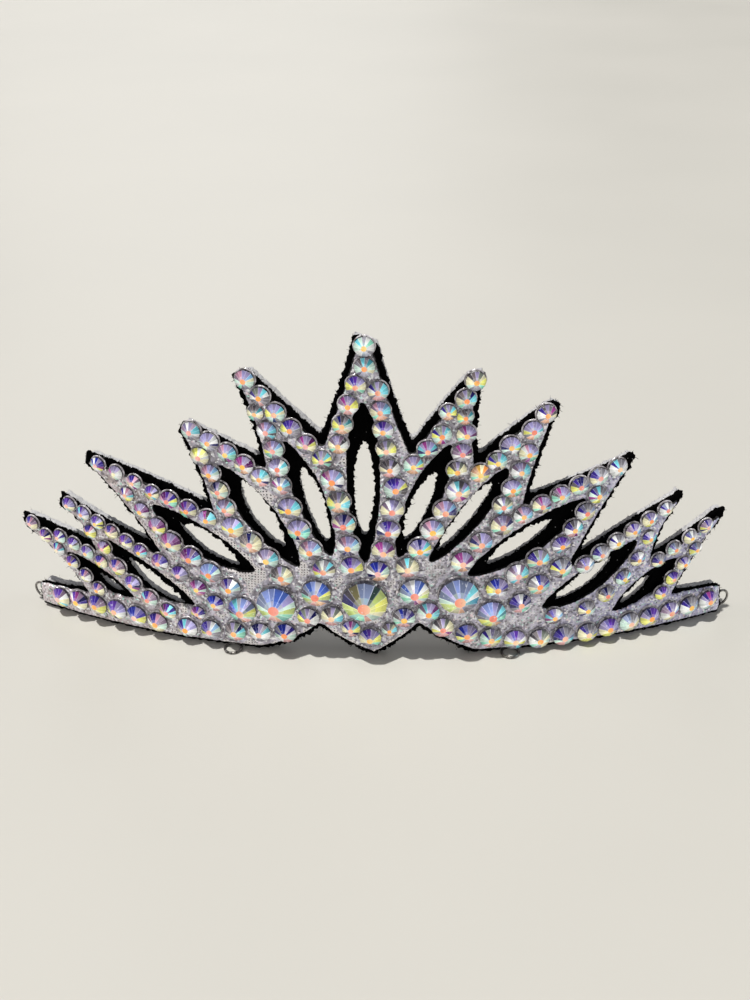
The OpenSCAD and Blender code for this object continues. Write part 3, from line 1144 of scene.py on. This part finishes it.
@dataclass
class StoneSet:
    """Cut stones that stand for CAD nodes, copied from one master and tinted with painted light
    facet by facet.
    """

    nodes: tuple[str, ...]
    name: str
    seed: int
    wedges: tuple[Tint, ...] = ()
    top: Optional[Tint] = None
    tinting: Tinting = Tinting()
    shading: Span = (0.86, 1.08)
    # Painted shade for wedges by the girdle and the girdle wall; painted highlights for wedges by
    # the table and bevelled edges.
    outer_shade: Colour = (0.1, 0.1, 0.14)
    white: Colour = (1, 1, 1)
    edge_highlight: Colour = (0.92, 0.92, 0.95)
    girdle_shade: Colour = (0.14, 0.13, 0.15)
    foil: Colour = (0.4, 0.4, 0.42)

    def build(self, master: Piece, cut: Cut, stones: Sequence[Stone]) -> Piece:
        """Copies, tints and joins the stones.

        Args:
            master: The stone that is copied.
            cut: The master's cut.
            stones: Where the crown's stones sit.

        Returns:
            The finished piece.
        """
        dice = random.Random(self.seed)
        kinds, copies = cut.kinds(master.data), []
        for stone in [s for s in stones if s.node in self.nodes]:
            turn = 0.0 if self.wedges else dice.uniform(0, FULL_TURN / cut.sides * 2)
            copy = copy_of(master, stone.matrix(turn))
            self.tint(copy, master, kinds, cut, turn, stone, dice)
            copies.append(copy)
        piece = join(copies, self.name)
        dress(piece, CoatedGlass(), self.nodes)
        return piece

    def tint(self, copy: Piece, master: Piece, kinds: Sequence[Kind],
             cut: Cut, turn: float, stone: Stone, dice: random.Random) -> None:
        """Stores a colour for each corner of a copy's faces.

        Args:
            copy: The copy.
            master: The stone that it was copied from.
            kinds: The kind of each of the master's faces.
            cut: The master's cut.
            turn: How far the copy is turned about its middle.
            stone: Where the copy sits.
            dice: The random numbers.
        """
        tints = list(self.wedges) or self.tinting.wedges(dice, stone.angle, stone.up, cut.sides)
        top = (self.top or self.tinting.top(dice, stone.angle)).value
        second = blend(top, dice.choice(self.tinting.second_tops).value, 0.6)
        waist = cut.girdle + (cut.height - cut.girdle) * (1 - cut.waist)
        shades = [dice.uniform(*self.shading) for _ in tints]
        inner = [dice.choice(tints).value for _ in tints]
        attribute = copy.data.attributes.new(FACET_TINT, "FLOAT_COLOR", "CORNER")
        colours = np.ones((len(copy.data.loops), 4), np.float32)
        mesh = master.data
        for face, kind in zip(mesh.polygons, kinds):
            middle = face.center
            clockwise = (math.degrees(math.atan2(middle.x, middle.y)) - math.degrees(turn)) % 360
            number = int((clockwise / 360 * cut.sides + 0.5) % cut.sides)
            body = tuple(c * shades[number] for c in tints[number].value)
            for corner in face.loop_indices:
                place = mesh.vertices[mesh.loops[corner].vertex_index].co
                toward = (0.5 - place.xy.length) / (0.5 - cut.table / 2)
                # Wedges by the girdle: painted shade, darker toward the stone's rim.
                if kind is Kind.WEDGE and middle.z < waist:
                    shown = blend(blend(body, self.outer_shade, 0.28), body, min(toward * 2.2, 1))
                # Wedges by the table: painted highlight, whiter toward the table.
                elif kind is Kind.WEDGE:
                    shown = blend(blend(body, inner[number], 0.22), self.white, 0.16 * toward)
                # Tables: painted reflection, passing from one tint to another across.
                elif kind is Kind.TABLE:
                    shown = blend(top, second, 0.5 + place.x / cut.table)
                # Bevelled edges: painted highlight lines.
                elif kind is Kind.EDGE:
                    shown = blend(body, self.edge_highlight, 0.40)
                # Girdle wall: painted shade, a dark line round each stone's foot.
                elif kind is Kind.GIRDLE:
                    shown = blend(body, self.girdle_shade, 0.82)
                else:
                    shown = self.foil
                colours[corner, :3] = linear([min(max(c, 0), 1) for c in shown])
        attribute.data.foreach_set("color", colours.ravel())


@dataclass
class GlueRings:
    """Beads of clear glue that swell round the feet of the stones.

    The width and its lumps are in millimetres, and the rise is a share of a stone's width.
    """

    name: str = "glue_rings"
    width: float = 0.20
    rise: float = 0.07
    lumps: float = 0.07
    lump_size: float = 1.7
    apart: float = 7.3
    seed: int = 41

    def model(self) -> Piece:
        """Models one bead round a stone of unit radius, as high and wide as its own radius.

        Returns:
            The bead, to be copied.
        """
        select()
        bpy.ops.mesh.primitive_torus_add(major_segments=28, minor_segments=6, major_radius=2,
                                         minor_radius=1)
        bead = edit("glue_bead")
        pick(bead, Part.FACES, lambda f: f.calc_center_median().z < -0.4)
        bpy.ops.mesh.delete(type="FACE")
        select()
        return bead

    def build(self, stones: Sequence[Stone]) -> Piece:
        """Copies the bead round every stone, each with its own lumps, and joins the copies.

        Args:
            stones: Where the crown's stones sit.

        Returns:
            The finished piece.
        """
        bead, beads = self.model(), []
        for number, stone in enumerate(stones):
            copy = copy_of(bead, Matrix.Identity(4))
            shift = Vector((number * self.apart, self.seed, 0))
            for vertex in copy.data.vertices:
                way = vertex.co.xy.normalized()
                swell = vertex.co.xy.length - 2
                lump = noise.noise(vertex.co * self.lump_size + shift)
                width = (self.width + lump * self.lumps) * MM
                vertex.co.xy = way * (stone.diameter / 2 + swell * width)
                vertex.co.z *= stone.diameter * self.rise * (1 + lump * 0.5)
            copy.data.transform(Sheet.turned(stone.angle, stone.up, FACE_RADIUS))
            beads.append(copy)
        bpy.data.objects.remove(bead)
        piece = join(beads, self.name)
        smooth(piece)
        dress(piece, ClearGlue())
        return piece


@dataclass
class Fringe:
    """Loose fibres that stand out of a felt layer's rim, with their sizes in millimetres."""

    name: str
    slot: str
    finish: Finish
    count: int
    thickness: float
    lengths: Span
    seed: int
    lowest: float = 0.0
    stray: float = 0.6
    root: float = 0.05

    def model(self) -> Piece:
        """Models one bent, tapered fibre of unit length along z.

        Returns:
            The fibre, to be copied.
        """
        select()
        bpy.ops.mesh.primitive_cylinder_add(vertices=3, radius=0.5, depth=0.4, location=(0, 0, 0.2))
        fibre = edit("fibre")
        for shift, narrow in ((0.54, 0.8), (1.02, 0.45)):
            pick(fibre, Part.FACES, lambda f: f.normal.z > 0.6)
            bpy.ops.mesh.extrude_region_move(TRANSFORM_OT_translate={"value": (shift, 0, 0.3)})
            bpy.ops.transform.resize(value=(narrow, narrow, 1))
        select()
        return fibre

    def build(self, layer: Piece) -> Piece:
        """Copies the fibre over a layer's rim.

        Args:
            layer: The felt layer that the fibres grow from.

        Returns:
            The finished piece.
        """
        dice = random.Random(self.seed)
        fibre, copies = self.model(), []
        places, normals = rows(layer, Row.PLACE), rows(layer, Row.NORMAL)
        share = np.zeros(len(places), np.float32)
        layer.data.attributes[EDGE_SHARE].data.foreach_get("value", share)
        rim = np.flatnonzero((share > 0.5) & (places[:, 2] > self.lowest * MM))
        low, high = self.lengths
        for _ in range(self.count):
            spot = int(rim[dice.randrange(len(rim))])
            stray = Vector([dice.uniform(-self.stray, self.stray) for _ in range(3)])
            way = Vector(normals[spot]) + stray
            length = low + (high - low) * dice.random() ** 3
            matrix = (Matrix.Translation(Vector(places[spot]) - way.normalized() * self.root * MM)
                      @ way.to_track_quat("Z", "X").to_matrix().to_4x4()
                      @ Matrix.Rotation(dice.uniform(0, FULL_TURN), 4, "Z")
                      @ Matrix.Diagonal((self.thickness * MM, self.thickness * MM, length * MM, 1)))
            copy = copy_of(fibre, matrix)
            for vertex in copy.data.vertices:
                vertex.co.z = max(vertex.co.z, 0)
            copies.append(copy)
        bpy.data.objects.remove(fibre)
        piece = join(copies, self.name)
        smooth(piece)
        dress(piece, self.finish)
        return piece


@dataclass
class WireLoop:
    """A ring of wire, bent round until its ends meet, with its radii in millimetres."""

    node: str
    name: str
    lies_flat: bool
    ring: float = 1.87
    wire: float = 0.28
    gap: float = 7.0

    def build(self) -> Piece:
        """Bends the ring where its CAD node is.

        Returns:
            The finished piece.
        """
        low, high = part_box(self.node)
        centre = (low + high) / 2
        angle = Sheet.angle(centre)
        select()
        bpy.ops.mesh.primitive_circle_add(
            vertices=12, radius=self.wire * MM, fill_type="NGON",
            location=(0, self.ring * MM, 0), rotation=(0, math.pi / 2, 0))
        loop = edit(self.name)
        bpy.ops.mesh.select_all(action="SELECT")
        bpy.ops.mesh.spin(steps=44, angle=math.radians(360 - self.gap), center=(0, 0, 0),
                          axis=(0, 0, 1))
        bpy.ops.mesh.select_all(action="SELECT")
        bpy.ops.mesh.normals_make_consistent(inside=False)
        select()
        if self.lies_flat:
            seat = Matrix.Translation(centre) @ Matrix.Rotation(angle, 4, "Z")
        else:
            inward = math.pi / 2 if angle > 0 else -math.pi / 2
            radius = (Vector((0, AXIS_Y)) - centre.xy).length
            seat = Sheet.turned(angle, centre.z, radius) @ Matrix.Rotation(inward, 4, "Z")
        loop.data.transform(seat)
        smooth(loop, 50)
        dress(loop, LoopWire(), [self.node])
        return loop


@dataclass
class Studio:
    """The pale floor, the lights and the camera, whose eye is in millimetres."""

    eye: Point = (13.918, -222.996, 160.354)
    right: Point = (0.99865, 0.04868, -0.01823)
    up: Point = (-0.00813, 0.49269, 0.87016)
    forward: Point = (-0.05134, 0.86884, -0.49242)
    lens: float = 43.2
    floor_size: float = 8
    aim: Point = (0, 0, 0.03)
    sky: Colour = (0.88, 0.88, 0.89)
    sky_strength: float = 0.13
    lights: tuple[tuple[str, Lamp, Point, float, float, Colour], ...] = (
        ("overhead", Lamp.SUN, (-0.17, -0.10, 1.0), 3.1, 1.4, (1.0, 0.99, 0.965)),
        ("front_panel", Lamp.PANEL, (0.2, -2.2, 0.9), 7.5, 1.0, (1.0, 0.99, 0.98)),
        ("left_panel", Lamp.PANEL, (-1.5, 0.0, 0.9), 3.6, 0.7, (1.0, 0.96, 0.95)),
        ("right_panel", Lamp.PANEL, (1.5, 0.0, 0.9), 3.2, 0.7, (0.95, 0.98, 1.0)),
        ("back_panel", Lamp.PANEL, (-0.5, 2.4, 1.0), 8.0, 1.2, (1.0, 1.0, 1.0)))

    def camera(self) -> None:
        """Adds the camera at the photograph's viewing angle."""
        data = bpy.data.cameras.new("camera")
        data.lens = self.lens
        data.clip_start = 0.01
        camera = put("camera", data)
        turn = Matrix((self.right, self.up, [-c for c in self.forward])).transposed().to_4x4()
        camera.matrix_world = Matrix.Translation(Vector(self.eye) * MM) @ turn
        bpy.context.scene.camera = camera

    def floor(self) -> None:
        """Adds the pale top that the crown stands on."""
        select()
        bpy.ops.mesh.primitive_plane_add(size=self.floor_size)
        floor = bpy.context.object
        floor.name = "floor"
        floor.data.materials.append(PaleTop().material())

    def light(self, name: str, kind: Lamp, place: Point, power: float, size: float,
              shown: Colour) -> None:
        """Adds a light that points at the crown.

        Args:
            name: The light's name.
            kind: The kind of light.
            place: Where it stands, in metres.
            power: Its energy.
            size: The angle of a sun in degrees, or the width of a panel in metres.
            shown: Its colour as a display value.
        """
        data = bpy.data.lights.new(name, kind.value)
        data.energy = power
        data.color = linear(shown)
        if kind is Lamp.SUN:
            data.angle = math.radians(size)
        else:
            data.size = size
        lamp = put(name, data)
        lamp.location = place
        lamp.rotation_euler = (Vector(self.aim) - Vector(place)).to_track_quat("-Z", "Y").to_euler()

    def build(self) -> None:
        """Sets up the whole studio."""
        self.camera()
        self.floor()
        for light in self.lights:
            self.light(*light)
        world = bpy.data.worlds.new("studio")
        world.use_nodes = True
        sockets = world.node_tree.nodes["Background"].inputs
        sockets[0].default_value = (*linear(self.sky), 1)
        sockets[1].default_value = self.sky_strength
        bpy.context.scene.world = world
        bpy.context.scene.view_settings.view_transform = "Standard"


BLACK_FELT = Felt("pressed_black_felt", dark=(0.005, 0.005, 0.006), light=(0.025, 0.025, 0.028),
                  lint=(0.85, 0.85, 0.86), lint_share=0.6, sheen=0.0, gloss=0.03)
WHITE_FELT = Felt("pressed_white_felt", dark=(0.68, 0.68, 0.70), light=(0.86, 0.86, 0.87),
                  lint=(0.56, 0.56, 0.58), lint_share=0.3, sheen=0.1, gloss=0.2)
# Wedge tints of the main stones, clockwise from 12 o'clock, listed facet by facet: painted
# reflections.
MAIN_WEDGES = {
    "centre_stone": "SLATE SLATE FOREST LIME LEMON LEMON CREAM PALE_MINT PEACH MINT MINT LIME LIME"
                    " NAVY SMOKE OLIVE",
    "large_stone_left": "PERIWINKLE BLUE BLUE LAVENDER PALE_MINT LIME MINT MINT PEACH BLUSH"
                        " PALE_MINT LIME PALE_MINT SLATE SLATE PERIWINKLE",
    "large_stone_right": "PERIWINKLE SLATE SLATE CYAN PEARL TEAL GREY GREY PEACH CREAM LIME LIME"
                         " PALE_MINT SLATE LAVENDER SLATE",
    "medium_stone_left_outer": "SILVER PERIWINKLE LAVENDER SLATE LEMON LIME PALE_MINT BLUSH PEACH"
                               " GREY MINT MINT SMOKE INDIGO BLUE CYAN",
    "medium_stone_left_inner": "PERIWINKLE SILVER BLUE BLUE LEMON LIME GREY PEACH PEACH BLUSH CREAM"
                               " LIME MINT SMOKE SLATE BLUE",
    "medium_stone_right_inner": "PEARL PERIWINKLE BLUE PEARL CREAM LIME PALE_MINT BLUSH MAGENTA"
                                " GREY PALE_MINT MINT PALE_MINT SLATE BLUE SILVER",
    "medium_stone_right_outer": "PERIWINKLE LAVENDER SLATE CYAN TEAL MINT GREY PEACH CREAM LEMON"
                                " LIME LEMON GREY SLATE LAVENDER PERIWINKLE",
}
MAIN_STONES = tuple(StoneSet((node,), f"{node}_cut", seed, named(Tint, tints), Tint.CORAL)
                    for seed, (node, tints) in enumerate(MAIN_WEDGES.items(), 1))
FIELDS = tuple(StoneSet((node,), f"{node}_cut", seed)
               for seed, node in ((11, "stones_left"), (12, "stones_right")))
LOOPS = tuple(WireLoop(f"loop_{end}", f"wire_loop_{end}", end.endswith("foot"))
              for end in ("left_end", "right_end", "left_foot", "right_foot"))


def main() -> None:
    """Builds the crown's sub-assemblies in order."""
    logging.basicConfig(level=logging.INFO, format="%(name)s: %(message)s")
    Studio().build()
    sets = (*MAIN_STONES, *FIELDS)
    stones = Stone.read([node for stone_set in sets for node in stone_set.nodes])
    LOG.info("%d stones read", len(stones))
    face = GlitterFace(
        "face", "glitter_face", "glitter_fabric", GlitterCloth(), (0.166, 0.075), 0.00488,
        "black_felt_layer", grain=0.38, fray=0.24, unevenness=0.12, growth=-0.12, below=-0.12,
        lip=-0.1, rounding=4, seed=5, tails=0.5, pinch=(-1.1, -0.6), pinch_reach=3.8, stones=stones)
    black = ClothLayer(
        "black_felt", "black_felt_layer", "black_felt", BLACK_FELT, (0.166, 0.0755), 0.00611,
        "white_felt_backing", grain=0.42, fray=0.58, unevenness=0.06, growth=0.10, below=0.1,
        lip=0.4, rounding=1, seed=9, above=0.3, sides=(0.3, -0.65))
    white = ClothLayer(
        "backing_felt", "white_felt_backing", "white_felt", WHITE_FELT, (0.166, 0.076), 0.00622,
        "floor", grain=0.48, fray=0.34, unevenness=0.1, growth=-0.36, below=0.0, lip=0.0,
        rounding=2, seed=13, sides=(0.0, -0.1), slip=(0.5, -0.85))
    cloth, felt, backing = (layer.build() for layer in (face, black, white))
    for cut, group in ((Cut(16, 0.29, 0.44), MAIN_STONES), (Cut(14, 0.29, 0.41), FIELDS)):
        master = cut.model()
        for stone_set in group:
            stone_set.build(master, cut, stones)
        bpy.data.objects.remove(master)
    GlueRings().build(stones)
    dark = Fringe("black_felt_fibres", "black_felt", BLACK_FELT, count=2600, thickness=0.09,
                  lengths=(0.25, 0.9), seed=21).build(felt)
    pale = Fringe("white_felt_fibres", "white_felt", WHITE_FELT, count=1600, thickness=0.07,
                  lengths=(0.2, 1.0), seed=22, lowest=3.0).build(backing)
    face.lay(cloth)
    black.lay(felt, [dark])
    white.lay(backing, [pale])
    for loop in LOOPS:
        loop.build()


if __name__ == "__main__":
    main()
